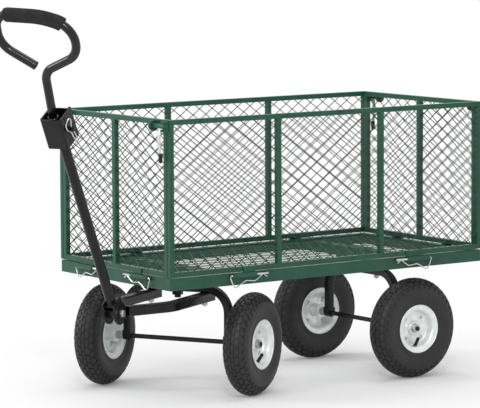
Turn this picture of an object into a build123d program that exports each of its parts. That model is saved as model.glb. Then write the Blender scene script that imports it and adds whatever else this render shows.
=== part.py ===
from build123d import *
from math import hypot
import os

# Garden cart with four hinged mesh sides, a steered front axle and a folding pull handle.
# Frame: +X towards the tail, -Y towards the near long side, +Z up, floor at Z = 0 below the bed's middle.
# Lengths are in millimetres and angles in degrees.

# Bed tray
bed_length = 985
bed_width = 495
bed_top = 323
apron_height = 30
bed_sheet = 2.5
flange_width = 30
apron_corner = 4
apron_edge = 2
floor_sheet = 2
floor_strand = 5
floor_columns = 11
floor_rows = 12
floor_clearance = 0.5
bolster_width = 40
bolster_wall = 3

# Side panels
panel_top = 711
panel_gap = 2.5
panel_tube = 12.5
panel_tube_wall = 1.2
panel_clearance = 0.4
corner_gap = 1.5
long_bays = 3
end_bays = 2
net_wire = 2.4
net_border = 2.4
net_cell_width = 62
net_cell_height = 46

# Panel hinges and their wire lock pins
hinge_spacing_long = 552
hinge_spacing_end = 248
hinge_drop = 6
knuckle_diameter = 12
knuckle_length = 35.5
knuckle_gap = 0.4
knuckle_stand_off = 1
leaf_thickness = 3
lock_pin_diameter = 6
lock_pin_inner = 37
lock_pin_outer = 3
bail_wire = 3
bail_drop = 30
running_clearance = 0.05

# Corner latches
latch_rod_diameter = 12
latch_rod_offset = 10.1
latch_drop = 9
latch_ring_diameter = 27
latch_ring_thickness = 5
latch_ring_from_end = 41
latch_lever_from_end = 11
latch_lever_width = 13
latch_lever_thickness = 3
latch_lever_length = 66
latch_tip_length = 25
latch_tip_diameter = 14
latch_clearance = 0.6
keeper_thickness = 5
keeper_height = 26
keeper_reach = 21

# Wheels
tyre_radius = 130
tyre_width = 66
tyre_wall = 8
tyre_corner = 32.5
bead_seat_radius = 50.8
bead_width = 7
bead_lip = 4
flange_radius = 63
rim_width = 55
rim_sheet = 2
rim_bolt_circle = 36
rim_bolt_diameter = 6
rim_bolt_count = 4
valve_diameter = 9
valve_offset = 10
valve_inner_radius = 27
valve_collar = 3
hub_diameter = 34
hub_wall = 4
hub_inboard = 36
hub_outboard = 12
bearing_width = 8
axle_diameter = 12
half_track = 210
washer_thickness = 2
washer_diameter = 24
axle_nut_flats = 19
axle_nut_height = 8
axle_tail = 2
seat_gap = 0.3
fit_gap = 0.05

# Undercarriage
front_axle_x = -301
rear_axle_x = 291
arch_tube = 20
arch_tube_wall = 2
arch_leg_y = 143
arch_bend = 60
arch_top = 273
axle_block_width = 22
axle_block_depth = 22
axle_block_rise = 15
turntable_diameter = 60
turntable_plate = 5
turntable_washer = 5
kingpin_diameter = 16
kingpin_tube_diameter = 28
kingpin_seat = 6
kingpin_head_diameter = 28
kingpin_head_height = 8
kingpin_nut_flats = 24
kingpin_nut_height = 9
kingpin_tail = 7
rear_bolt_y = 62
saddle_length = 180
saddle_seat = 3
bolt_diameter = 8
bolt_flats = 13
bolt_head_height = 5.3
bolt_nut_height = 6.5
bolt_tail = 3

# Steering yoke
yoke_tube = 25
yoke_tube_wall = 2
yoke_leg_y = 76
yoke_tail = 35
yoke_straight = 185
yoke_weld = 42
yoke_bend = 90
yoke_reach = 342
tongue_width = 24
tongue_tail = 62
steer_rest = 28.5

# Drawbar, hitch clevis and handle
drawbar_lean = 29.5
drawbar_tube = 25
drawbar_tube_wall = 2
drawbar_start = 30
clevis_start = 503
clevis_height = 80
clevis_width = 55
clevis_front = 29
clevis_back = 32
clevis_plate = 4
clevis_corner = 6
clevis_slot_width = 43
clevis_sill = 3
ear_radius = 28
ear_thickness = 5
ear_shank_width = 40
ear_height = 38
ear_gap = 0.5
fork_bridge = 4
pivot_bolt_diameter = 10
pivot_bolt_flats = 16
pivot_bolt_head = 6.4
pivot_washer_diameter = 26
pivot_washer_thickness = 2.5
hitch_pin_above_floor = 40
hitch_pin_diameter = 12
hitch_pin_head_diameter = 22
hitch_pin_head_height = 5
hitch_pin_tail = 15
clip_wire = 3
clip_from_plate = 8
clip_leg = 38
clip_lean = 17
handle_tube_diameter = 21
handle_tube_wall = 2
handle_tilt = 6.5
handle_shift = 10.4
handle_foot = 20
handle_bend_height = 159
handle_near_y = -94
handle_near_low = 217.5
handle_near_high = 294
handle_crown_y = -17
handle_crown_height = 312
handle_far_y = 106
handle_far_low = 220
handle_far_high = 304
handle_free_end_y = 22
handle_free_end_height = 173
handle_neck_radius = 45
handle_corner_radius = 55
handle_far_radius = 40
handle_crown_radius = 200
handle_collar_diameter = 27
handle_collar_height = 6
handle_collar_above_pin = 27
stop_plate_x = 23.5
stop_plate_thickness = 3
stop_plate_below_pin = 4
stop_plate_clearance = 0.8
grip_diameter = 34
grip_start = 368
grip_length = 148
grip_clearance = 0.15

# Heights and places that follow from the sizes above
bed_bottom = bed_top - apron_height
floor_top = bed_top - bed_sheet
floor_bottom = floor_top - floor_sheet
panel_low = bed_top + panel_gap
panel_bar_y = panel_tube / 2 - panel_clearance
rail_top_z = panel_top - panel_tube / 2
rail_low_z = panel_low + panel_tube / 2
long_panel_length = bed_length + 2 * panel_clearance
end_panel_length = bed_width + 2 * (panel_clearance - panel_tube - corner_gap)
hinge_y = -knuckle_diameter / 2 - knuckle_stand_off
hinge_z = bed_top - hinge_drop
latch_y = -panel_clearance - latch_rod_offset
latch_z = rail_top_z - latch_drop
axle_z = tyre_radius
arch_low = arch_top - arch_tube
boss_low = arch_top + turntable_plate + turntable_washer
kingpin_seat_z = bed_bottom + kingpin_seat
saddle_top = bed_bottom + saddle_seat
yoke_top = arch_low - fit_gap
yoke_low = yoke_top - yoke_tube
yoke_mid_z = yoke_top - yoke_tube / 2
ear_inner_y = tongue_width / 2 + ear_gap
pivot_seat_y = ear_inner_y + ear_thickness + pivot_washer_thickness
hitch_pin_height = clevis_start + hitch_pin_above_floor
wheel_inner = half_track - hub_inboard
axle_block_outer = arch_leg_y + axle_block_width / 2
nut_inner = half_track + hub_outboard + seat_gap + washer_thickness
axle_half_length = nut_inner + axle_nut_height + axle_tail

SIDES = {
    "near": (0, bed_width / 2),
    "rear": (90, bed_length / 2),
    "far": (180, bed_width / 2),
    "front": (270, bed_length / 2),
}
UP = (Align.CENTER, Align.CENTER, Align.MIN)
DOWN = (Align.CENTER, Align.CENTER, Align.MAX)

steer_place = Pos(front_axle_x, 0, 0) * Rot(0, 0, steer_rest)
rear_place = Pos(rear_axle_x, 0, 0)
drawbar_place = steer_place * Pos(-yoke_reach, 0, yoke_mid_z) * Rot(0, -drawbar_lean, 0)
handle_place = drawbar_place * Pos(0, handle_shift, hitch_pin_height) * Rot(handle_tilt, 0, 0)


def side_place(side):
    """Where one side of the tray is: X runs along it, -Y outwards, Y = 0 on the apron's outer face."""
    turn, half = SIDES[side]
    return Rot(0, 0, turn) * Pos(0, -half, 0)


# Common shapes

def along_y(diameter, y_from, y_to, x=0, z=0):
    """A round bar parallel to Y."""
    length = y_to - y_from
    return Pos(x, (y_from + y_to) / 2, z) * Rot(90, 0, 0) * Cylinder(diameter / 2, length)


def along_x(diameter, x_from, x_to, y=0, z=0):
    """A round bar parallel to X."""
    return Pos((x_from + x_to) / 2, y, z) * Rot(0, 90, 0) * Cylinder(diameter / 2, x_to - x_from)


def upright(diameter, z_from, z_to, x=0, y=0):
    """A round bar parallel to Z."""
    return Pos(x, y, z_from) * Cylinder(diameter / 2, z_to - z_from, align=UP)


def box_between(low, high):
    """A box given by its two corners."""
    size = [h - l for l, h in zip(low, high)]
    return Pos(*[(l + h) / 2 for l, h in zip(low, high)]) * Box(*size)


def hexagon(flats, height):
    """A hexagon prism standing on Z = 0, by its width across flats."""
    return extrude(RegularPolygon(flats / 2, 6, major_radius=False), height)


def square_sweep(points, radius, side, wall):
    """A square tube along a bent line that lies in one plane."""
    path = FilletPolyline(*points, radius=radius)
    start = Plane(origin=path @ 0, z_dir=path % 0, x_dir=bend_normal(points))
    outer = sweep(start * RectangleRounded(side, side, 2 * wall), path)
    inner = sweep(start * RectangleRounded(side - 2 * wall, side - 2 * wall, wall), path)
    return outer - inner


def bend_normal(points):
    """The direction square to the plane of a bent line."""
    first = Vector(*points[1]) - Vector(*points[0])
    second = Vector(*points[2]) - Vector(*points[1])
    return first.cross(second).normalized()


def round_sweep(path, diameter):
    """A round bar along a path."""
    start = Plane(origin=path @ 0, z_dir=path % 0)
    return sweep(start * Circle(diameter / 2), path)


def bolt(diameter, flats, head, z_low, z_seat):
    """A hexagon bolt that hangs from its seat down to z_low."""
    shank = upright(diameter, z_low, z_seat)
    return shank + Pos(0, 0, z_seat) * hexagon(flats, head)


def nut(diameter, flats, height, z_top):
    """A hexagon nut below z_top."""
    blank = Pos(0, 0, z_top - height) * hexagon(flats, height)
    return blank - upright(diameter + 2 * fit_gap, z_top - height, z_top)


# Diamond nets

def diamond_gap(x, z, half_width, half_height, width, height):
    """The corners of one gap of a net, cut off at the net's border."""
    corners = [(x + half_width, z), (x, z + half_height), (x - half_width, z), (x, z - half_height)]
    kept = [c for c in corners if abs(c[0]) < width / 2 + 1e-6 and abs(c[1]) < height / 2 + 1e-6]
    if len(kept) == 2:
        kept.append((x, z))
    return kept


def diamond_net(width, height, columns, rows, strand, border, thickness):
    """A flat diamond net in the XY plane, as one face with its gaps, made thick upwards."""
    inner_width = width - 2 * border
    inner_height = height - 2 * border
    half_w = inner_width / columns / 2
    half_h = inner_height / rows / 2
    shrink = 1 - strand / 2 * hypot(half_w, half_h) / (half_w * half_h)
    centres = [(i, j) for i in range(2 * columns + 1) for j in range(2 * rows + 1) if (i + j) % 2 == 0]
    gaps = []
    for i, j in centres:
        x = i * half_w - inner_width / 2
        y = j * half_h - inner_height / 2
        gap = diamond_gap(x, y, half_w * shrink, half_h * shrink, inner_width, inner_height)
        gaps.append(Wire.make_polygon([(a, b, 0) for a, b in gap], close=True))
    signs = [(-1, -1), (1, -1), (1, 1), (-1, 1)]
    outline = Wire.make_polygon([(a * width / 2, b * height / 2, 0) for a, b in signs], close=True)
    return Solid.extrude(Face(outline, gaps), Vector(0, 0, thickness))


# Bed

def make_bed_frame():
    """Apron and top flange, folded from sheet, with rounded corners and top edges."""
    outer = Pos(0, 0, bed_top) * Box(bed_length, bed_width, apron_height, align=DOWN)
    outer = fillet(outer.edges().filter_by(Axis.Z), apron_corner)
    outer = fillet(outer.edges().group_by(Axis.Z)[-1], apron_edge)
    hollow = Box(bed_length - 2 * bed_sheet, bed_width - 2 * bed_sheet, apron_height, align=DOWN)
    opening = Box(bed_length - 2 * flange_width, bed_width - 2 * flange_width, apron_height, align=DOWN)
    return outer - Pos(0, 0, floor_top) * hollow - Pos(0, 0, bed_top) * opening


def make_floor():
    """Expanded-metal floor, welded under the flange."""
    length = bed_length - 2 * (bed_sheet + floor_clearance)
    width = bed_width - 2 * (bed_sheet + floor_clearance)
    border = flange_width - bed_sheet - floor_clearance
    net = diamond_net(length, width, floor_columns, floor_rows, floor_strand, border, floor_sheet)
    return Pos(0, 0, floor_bottom) * net


def bolster_channel():
    """A cross member under the floor: a channel that is open downwards."""
    length = bed_width - 2 * (bed_sheet + floor_clearance)
    height = floor_bottom - bed_bottom
    outer = Pos(0, 0, floor_bottom) * Box(bolster_width, length, height, align=DOWN)
    hollow = Box(bolster_width - 2 * bolster_wall, length, height, align=DOWN)
    return outer - Pos(0, 0, floor_bottom - bolster_wall) * hollow


def make_front_bolster():
    boss = upright(turntable_diameter, boss_low, kingpin_seat_z)
    bore = upright(kingpin_diameter + 2 * fit_gap, boss_low, kingpin_seat_z)
    return Pos(front_axle_x, 0, 0) * (bolster_channel() + boss - bore)


def make_rear_bolster():
    saddle_width = bolster_width - 2 * bolster_wall
    half = saddle_length / 2
    saddle = box_between((-saddle_width / 2, -half, arch_top), (saddle_width / 2, half, saddle_top))
    body = bolster_channel() + saddle
    for y in (-rear_bolt_y, rear_bolt_y):
        body -= upright(bolt_diameter + 2 * fit_gap, arch_top, saddle_top, y=y)
    return rear_place * body


# Side panels, each made in the frame of its side of the tray

def panel_frame(length, bays):
    """Welded square tube: two rails, two end posts and the posts between the bays."""
    half = length / 2
    posts = [panel_post_x(length, bays, i) for i in range(bays + 1)]
    outer = box_between((-half, -panel_clearance, panel_low), (half, panel_tube - panel_clearance, panel_top))
    outer = fillet(outer.edges().filter_by(Axis.Z) + outer.edges().filter_by(Axis.X), panel_tube_wall)
    for left, right in zip(posts, posts[1:]):
        low = (left + panel_tube / 2, -panel_tube, panel_low + panel_tube)
        high = (right - panel_tube / 2, 2 * panel_tube, panel_top - panel_tube)
        outer -= box_between(low, high)
    inside = panel_tube - 2 * panel_tube_wall
    for x in posts:
        outer -= Pos(x, panel_bar_y, panel_low + panel_tube_wall) * Box(
            inside, inside, panel_top - panel_low - 2 * panel_tube_wall, align=UP)
    for z in (rail_low_z, rail_top_z):
        outer -= Pos(0, panel_bar_y, z) * Box(length - 2 * panel_tube_wall, inside, inside)
    return outer


def panel_post_x(length, bays, index):
    """The middle of one upright of a panel."""
    return (length - panel_tube) * (index / bays - 0.5)


def panel_net(length, bays):
    """The wire net of a panel, one piece for each bay."""
    width = (length - panel_tube) / bays - panel_tube
    height = panel_top - panel_low - 2 * panel_tube
    columns = round(width / net_cell_width)
    rows = round(height / net_cell_height)
    net = diamond_net(width, height, columns, rows, net_wire, net_border, net_wire)
    middle = (panel_low + panel_top) / 2
    pieces = []
    for i in range(bays):
        x = (panel_post_x(length, bays, i) + panel_post_x(length, bays, i + 1)) / 2
        pieces.append(Pos(x, panel_bar_y + net_wire / 2, middle) * Rot(90, 0, 0) * net)
    return pieces


def panel_knuckle(x, outward):
    """Hinge barrel of a panel, with the leaf that is welded to the low rail."""
    low, high = knuckle_span(x, -outward)
    barrel = along_x(knuckle_diameter, low, high, hinge_y, hinge_z)
    leaf_low = (low, -panel_clearance - leaf_thickness, hinge_z)
    leaf = box_between(leaf_low, (high, -panel_clearance, panel_low + panel_tube))
    return barrel + leaf - knuckle_bore(low, high)


def bed_knuckle(x, outward):
    """Hinge barrel on the apron, with its welded foot, beside the panel's barrel."""
    low, high = knuckle_span(x, outward)
    barrel = along_x(knuckle_diameter, low, high, hinge_y, hinge_z)
    foot_low = (low, hinge_y, hinge_z - knuckle_diameter / 2)
    foot = box_between(foot_low, (high, 0, hinge_z + knuckle_diameter / 4))
    return barrel + foot - knuckle_bore(low, high)


def knuckle_span(x, side):
    """Both ends of the barrel on one side of the gap in a hinge."""
    near_end = x + side * knuckle_gap / 2
    return sorted((near_end, near_end + side * knuckle_length))


def knuckle_bore(low, high):
    return along_x(lock_pin_diameter + 2 * running_clearance, low, high, hinge_y, hinge_z)


def lock_pin(x, outward):
    """Wire lock pin: a straight pin whose spring bail hangs below it and hooks on its outer end."""
    barrels = knuckle_length + knuckle_gap / 2
    reach = barrels + (lock_pin_inner + lock_pin_outer) / 2
    pin = along_x(lock_pin_diameter, -reach, reach)
    points = [
        (-reach + 4 * bail_wire, 0, 0),
        (-reach * 0.28, 0, -bail_drop * 0.53),
        (reach * 0.2, 0, -bail_drop * 0.45),
        (reach * 0.8, 0, -bail_drop),
        (reach, 0, -bail_drop / 3),
        (reach, 0, lock_pin_diameter),
    ]
    bail = round_sweep(FilletPolyline(*points, radius=2 * bail_wire), bail_wire)
    whole = Pos((lock_pin_outer - lock_pin_inner) / 2, 0, 0) * (pin + bail)
    if outward < 0:
        whole = mirror(whole, Plane.YZ)
    return Pos(x, hinge_y, hinge_z) * whole


def latch_ring(end, length):
    """The eye on an end panel's top rail that carries a latch rod."""
    middle = end * (length / 2 - latch_ring_from_end)
    half = latch_ring_thickness / 2
    ring = along_x(latch_ring_diameter, middle - half, middle + half, latch_y, latch_z)
    rail = box_between((middle - half, 0, panel_top - panel_tube), (middle + half, panel_tube, panel_top))
    return ring - rail - latch_rod_bore(middle - 2 * half, middle + 2 * half)


def latch_rod_bore(x_from, x_to):
    return along_x(latch_rod_diameter + 2 * running_clearance, x_from, x_to, latch_y, latch_z)


def latch_lever(end, length):
    """Rod with a flat lever that hangs from it, and the vinyl sleeve on the lever's end."""
    keeper_middle = bed_width / 2 + panel_clearance - panel_tube / 2
    rod_out = keeper_middle + keeper_thickness / 2 + latch_rod_offset / 4
    rod_in = length / 2 - latch_ring_from_end - 2 * latch_ring_thickness
    rod = along_x(latch_rod_diameter, *sorted((end * rod_in, end * rod_out)), latch_y, latch_z)
    x = end * (length / 2 - latch_lever_from_end)
    bar_low = (x - latch_lever_width / 2, latch_y - latch_lever_thickness / 2, latch_z - latch_lever_length)
    bar = box_between(bar_low, (x + latch_lever_width / 2, latch_y + latch_lever_thickness / 2, latch_z))
    tip_top = latch_z - latch_lever_length
    tip = upright(latch_tip_diameter, tip_top - latch_tip_length, tip_top, x, latch_y)
    return [rod + bar, fillet(tip.edges().sort_by(Axis.Z)[0], latch_tip_diameter / 4)]


def keeper(end):
    """The open-fronted keeper on a long panel's end post, in which a latch rod's end lies."""
    face = end * long_panel_length / 2
    out = face + end * keeper_reach
    low = (min(face, out), panel_bar_y - keeper_thickness / 2, latch_z - keeper_height / 2)
    high = (max(face, out), panel_bar_y + keeper_thickness / 2, latch_z + keeper_height / 2)
    rod_x = face + end * latch_rod_offset
    notch = latch_rod_diameter / 2 + latch_clearance
    slot_far = rod_x + end * 2 * latch_rod_diameter
    slot_low = (min(rod_x, slot_far), -panel_tube, latch_z - notch)
    slot = box_between(slot_low, (max(rod_x, slot_far), 2 * panel_tube, latch_z + notch))
    round_end = along_y(2 * notch, -panel_tube, 2 * panel_tube, rod_x, latch_z)
    return box_between(low, high) - slot - round_end


def make_panel(side):
    """Frame, net and latch levers of one side."""
    is_long = side in ("near", "far")
    length = long_panel_length if is_long else end_panel_length
    bays = long_bays if is_long else end_bays
    spacing = hinge_spacing_long if is_long else hinge_spacing_end
    frame = panel_frame(length, bays)
    for end in (-1, 1):
        frame += panel_knuckle(end * spacing / 2, end)
        frame += keeper(end) if is_long else latch_ring(end, length)
    place = side_place(side)
    add(f"{side}_panel_frame", place * frame)
    add(f"{side}_panel_net", *[place * piece for piece in panel_net(length, bays)])
    add(f"{side}_lock_pins", *[place * lock_pin(s * spacing / 2, s) for s in (-1, 1)])
    if not is_long:
        # Along the front panel +X is the near side, and along the rear panel the far side
        near_end = 1 if side == "front" else -1
        for end, name in ((near_end, "near"), (-near_end, "far")):
            add(f"{side}_{name}_latch_lever", *[place * piece for piece in latch_lever(end, length)])


# Wheels, made with the outboard side towards +Y

def revolve_about_y(sketch):
    """Turn a section drawn with X along the axle and Y along the radius."""
    return revolve(Plane.YZ * sketch, Axis.Y)


def rect(w_from, w_to, r_from, r_to):
    return Pos((w_from + w_to) / 2, (r_from + r_to) / 2) * Rectangle(w_to - w_from, r_to - r_from)


def make_tyre():
    height = tyre_radius - bead_seat_radius
    middle = (tyre_radius + bead_seat_radius) / 2
    shell = Pos(0, middle) * RectangleRounded(tyre_width, height, tyre_corner)
    hollow = Pos(0, middle) * RectangleRounded(
        tyre_width - 2 * tyre_wall, height - 2 * tyre_wall, tyre_corner - tyre_wall)
    bead = rim_width / 2 - rim_sheet - seat_gap
    flange = flange_radius + seat_gap
    section = shell - hollow - rect(bead_width - bead, bead - bead_width, 0, middle)
    section -= rect(bead, tyre_width, 0, flange)
    section -= rect(-tyre_width, -bead, 0, flange)
    bead_section = rect(bead - bead_width, bead, bead_seat_radius + fit_gap, flange + tyre_wall)
    bead_section += rect(bead - bead_width, bead + bead_lip, flange, flange + tyre_wall)
    section += bead_section
    section += mirror(bead_section, Plane.YZ)
    return revolve_about_y(section)


def rim_half():
    """One pressed half of the rim: disc, bead seat and flange."""
    half = rim_width / 2
    disc = rect(0, rim_sheet, hub_diameter / 2 + fit_gap, bead_seat_radius)
    seat = rect(0, half, bead_seat_radius - rim_sheet, bead_seat_radius)
    flange = rect(half - rim_sheet, half, bead_seat_radius - rim_sheet, flange_radius)
    body = revolve_about_y(disc + seat + flange)
    for turn in rim_bolt_turns():
        hole = along_y(rim_bolt_diameter + 2 * fit_gap, -rim_sheet, 2 * rim_sheet, z=rim_bolt_circle)
        body -= Rot(0, turn, 0) * hole
    return body


def rim_bolt_turns():
    return [360 / rim_bolt_count * (i + 0.5) for i in range(rim_bolt_count)]


def make_rim():
    outboard = rim_half() - upright(valve_diameter + 2 * fit_gap, -bead_seat_radius - 1, 0, y=valve_offset)
    return [outboard, mirror(rim_half(), Plane.XZ)]


def make_rim_bolts():
    """Bolts with nuts that hold the two rim halves together."""
    flats = 1.7 * rim_bolt_diameter
    head = 0.7 * rim_bolt_diameter
    grip = 2 * rim_sheet + 2 * fit_gap
    one = bolt(rim_bolt_diameter, flats, head, -grip - 2 * head, 0)
    lock = nut(rim_bolt_diameter, flats, head, -grip)
    lift = rim_sheet + fit_gap
    pieces = []
    for turn in rim_bolt_turns():
        place = Rot(0, turn, 0) * Pos(0, lift, rim_bolt_circle) * Rot(-90, 0, 0)
        pieces += [place * one, place * lock]
    return pieces


def make_hub():
    """Hub tube with a bearing in each end."""
    bore = hub_diameter - 2 * hub_wall
    tube = along_y(hub_diameter, -hub_inboard, hub_outboard) - along_y(bore, -hub_inboard, hub_outboard)
    pieces = [tube]
    for low in (-hub_inboard, hub_outboard - bearing_width):
        high = low + bearing_width
        ring = along_y(bore - 2 * fit_gap, low, high)
        pieces.append(ring - along_y(axle_diameter + 2 * running_clearance, low, high))
    return pieces


def make_valve():
    """Rubber valve stem through the rim's seat, with its collar inside the tyre."""
    low = -bead_seat_radius - valve_collar
    stem = upright(valve_diameter, low, -valve_inner_radius, y=valve_offset)
    collar = upright(1.5 * valve_diameter, low, -bead_seat_radius, y=valve_offset)
    seat = along_y(2 * (bead_seat_radius + fit_gap), -rim_width, rim_width)
    return stem + (collar - seat) - upright(valve_diameter / 3, low, -valve_inner_radius, y=valve_offset)


def make_wheel(name, place):
    add(f"{name}_tyre", place * make_tyre())
    add(f"{name}_rim", *[place * piece for piece in make_rim()])
    add(f"{name}_hub", *[place * piece for piece in make_hub()])
    add(f"{name}_rim_bolts", *[place * piece for piece in make_rim_bolts()])
    add(f"{name}_valve_stem", place * make_valve())


# Axles and arches, made about the middle of their axle on the floor

def make_arch():
    """Bent square tube with the blocks that hold the axle."""
    mid_z = arch_top - arch_tube / 2
    block_top = axle_z + axle_block_rise
    points = [
        (0, -arch_leg_y, axle_z),
        (0, -arch_leg_y, mid_z),
        (0, arch_leg_y, mid_z),
        (0, arch_leg_y, axle_z),
    ]
    body = square_sweep(points, arch_bend, arch_tube, arch_tube_wall)
    for y in (-arch_leg_y, arch_leg_y):
        low = y - axle_block_width / 2
        high = y + axle_block_width / 2
        half = axle_block_depth / 2
        body += box_between((-half, low, axle_z), (half, high, block_top))
        body += along_y(axle_block_depth, low, high, z=axle_z)
    return body - along_y(axle_diameter + 2 * fit_gap, -half_track, half_track, z=axle_z)


def make_axle_rod():
    return along_y(axle_diameter, -axle_half_length, axle_half_length, z=axle_z)


def make_axle_hardware():
    """Spacers, washers and nuts on both ends of an axle."""
    bore = axle_diameter + 2 * fit_gap
    pieces = []
    for side in (-1, 1):
        spans = [
            (1.7 * axle_diameter, axle_block_outer, wheel_inner - seat_gap),
            (washer_diameter, nut_inner - washer_thickness, nut_inner),
        ]
        for diameter, low, high in spans:
            ends = sorted((side * low, side * high))
            pieces.append(along_y(diameter, *ends, z=axle_z) - along_y(bore, *ends, z=axle_z))
        place = Pos(0, side * nut_inner, axle_z) * Rot(-90 * side, 0, 0)
        pieces.append(place * nut(axle_diameter, axle_nut_flats, axle_nut_height, axle_nut_height))
    return pieces


def make_front_arch():
    """The steered arch, with its pivot tube and turntable plate."""
    plate_top = arch_top + turntable_plate
    body = make_arch() + upright(kingpin_tube_diameter, arch_low, plate_top)
    body += upright(turntable_diameter, arch_top, plate_top)
    body -= upright(kingpin_diameter + 2 * running_clearance, arch_low, plate_top)
    for y in (-yoke_leg_y, yoke_leg_y):
        body -= upright(bolt_diameter + 2 * fit_gap, arch_low, arch_top, y=y)
    return body


def make_rear_arch():
    body = make_arch()
    for y in (-rear_bolt_y, rear_bolt_y):
        body -= upright(bolt_diameter + 2 * fit_gap, arch_low, arch_top, y=y)
    return body


def make_kingpin():
    """Kingpin with a round head on the bolster's boss, and its nut below the arch."""
    nut_top = arch_low - seat_gap
    tail = nut_top - kingpin_nut_height - kingpin_tail
    pin = upright(kingpin_diameter, tail, kingpin_seat_z)
    pin += upright(kingpin_head_diameter, kingpin_seat_z, kingpin_seat_z + kingpin_head_height)
    return [pin, nut(kingpin_diameter, kingpin_nut_flats, kingpin_nut_height, nut_top)]


def make_turntable_washer():
    low = arch_top + turntable_plate
    high = boss_low - seat_gap
    ring = upright(turntable_diameter - 4, low, high)
    return ring - upright(kingpin_diameter + 2 * running_clearance, low, high)


def bolts_at(half_spacing, seat_z, nut_z):
    """A pair of bolts with nuts, one each side of the middle."""
    tail = nut_z - bolt_nut_height - bolt_tail
    pieces = []
    for y in (-half_spacing, half_spacing):
        place = Pos(0, y, 0)
        pieces.append(place * bolt(bolt_diameter, bolt_flats, bolt_head_height, tail, seat_z))
        pieces.append(place * nut(bolt_diameter, bolt_flats, bolt_nut_height, nut_z))
    return pieces


def make_yoke():
    """Two bent legs under the front arch that meet at the tongue of the drawbar pivot."""
    weld_x = yoke_weld - yoke_reach
    tongue_half = tongue_width / 2
    tongue_low = (-yoke_reach, -tongue_half, yoke_low)
    body = box_between(tongue_low, (tongue_tail - yoke_reach, tongue_half, yoke_top))
    body += along_y(yoke_tube, -tongue_half, tongue_half, -yoke_reach, yoke_mid_z)
    for side in (-1, 1):
        points = [
            (yoke_tail, side * yoke_leg_y, yoke_mid_z),
            (-yoke_straight, side * yoke_leg_y, yoke_mid_z),
            (weld_x, side * tongue_half, yoke_mid_z),
        ]
        leg = square_sweep(points, yoke_bend, yoke_tube, yoke_tube_wall)
        body += leg - upright(bolt_diameter + 2 * fit_gap, yoke_low, yoke_top, y=side * yoke_leg_y)
    bore = pivot_bolt_diameter + 2 * running_clearance
    return body - along_y(bore, -tongue_width, tongue_width, -yoke_reach, yoke_mid_z)


# Drawbar and handle, made upright with the drawbar's pivot at the origin

def make_drawbar():
    inside = drawbar_tube - 2 * drawbar_tube_wall
    return upright(drawbar_tube, drawbar_start, clevis_start) - upright(inside, drawbar_start, clevis_start)


def make_fork():
    """Two ears joined by a bridge, on which the drawbar's tube stands."""
    outer_y = ear_inner_y + ear_thickness
    half = ear_shank_width / 2
    ears = along_y(2 * ear_radius, -outer_y, outer_y)
    ears += box_between((-half, -outer_y, 0), (half, outer_y, ear_height))
    ears -= box_between((-ear_radius, -ear_inner_y, -ear_radius), (ear_radius, ear_inner_y, ear_height))
    bridge_low = (-drawbar_tube / 2, -ear_inner_y, drawbar_start - fork_bridge)
    bridge = box_between(bridge_low, (drawbar_tube / 2, ear_inner_y, drawbar_start))
    return ears + bridge - along_y(pivot_bolt_diameter + 2 * fit_gap, -outer_y, outer_y)


def make_pivot_bolt():
    """Bolt through the ears and the yoke's tongue with its washers, head near and nut far."""
    shank_end = pivot_seat_y + pivot_bolt_head + bolt_tail
    one = bolt(pivot_bolt_diameter, pivot_bolt_flats, pivot_bolt_head, -shank_end, pivot_seat_y)
    lock = nut(pivot_bolt_diameter, pivot_bolt_flats, pivot_bolt_head, -pivot_seat_y)
    pieces = [Rot(90, 0, 0) * one, Rot(90, 0, 0) * lock]
    for side in (-1, 1):
        ends = sorted((side * (pivot_seat_y - pivot_washer_thickness), side * pivot_seat_y))
        bore = along_y(pivot_bolt_diameter + 2 * fit_gap, *ends)
        pieces.append(along_y(pivot_washer_diameter, *ends) - bore)
    return pieces


def make_clevis():
    """Folded hitch box, open above, with a slot behind through which the handle folds back."""
    half = clevis_width / 2
    top = clevis_start + clevis_height
    outer = box_between((-clevis_front, -half, clevis_start), (clevis_back, half, top))
    outer = fillet(outer.edges().filter_by(Axis.Z).group_by(Axis.X)[0], clevis_corner)
    inside_low = (clevis_plate - clevis_front, clevis_plate - half, clevis_start + clevis_plate)
    hollow = box_between(inside_low, (clevis_back - clevis_plate, half - clevis_plate, 2 * top))
    hollow = fillet(hollow.edges().filter_by(Axis.Z).group_by(Axis.X)[0], clevis_corner - clevis_plate)
    slot_low = (0, -clevis_slot_width / 2, clevis_start + clevis_plate + clevis_sill)
    slot = box_between(slot_low, (2 * clevis_back, clevis_slot_width / 2, 2 * top))
    return outer - hollow - slot - along_y(hitch_pin_diameter + 2 * fit_gap, -half, half, z=hitch_pin_height)


def make_hitch_pin():
    half = clevis_width / 2
    pin = along_y(hitch_pin_diameter, -half - hitch_pin_tail, half, z=hitch_pin_height)
    pin += along_y(hitch_pin_head_diameter, half, half + hitch_pin_head_height, z=hitch_pin_height)
    return pin - clip_place() * upright(clip_wire + 4 * fit_gap, -hitch_pin_diameter, hitch_pin_diameter)


def clip_place():
    """Where the clip crosses the hitch pin, leaning back along the side plate."""
    return Pos(0, -clevis_width / 2 - clip_from_plate, hitch_pin_height) * Rot(0, -clip_lean, 0)


def make_clip():
    """Spring clip: a straight leg through the hitch pin, a wide eye above it and a waved leg beside it."""
    points = [
        (0, 0, -clip_leg),
        (0, 0, 10),
        (9.5, 0, 16),
        (9.5, 0, 29),
        (-17.5, 0, 29),
        (-17.5, 0, 11),
        (-8.5, 0, -3),
        (-11, 0, -15),
        (-8.5, 0, -26),
        (-12, 0, -clip_leg),
    ]
    radii = [4, 5, 9, 10, 6, 4, 6, 6]
    return clip_place() * round_sweep(FilletPolyline(*points, radius=radii), clip_wire)


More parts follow.
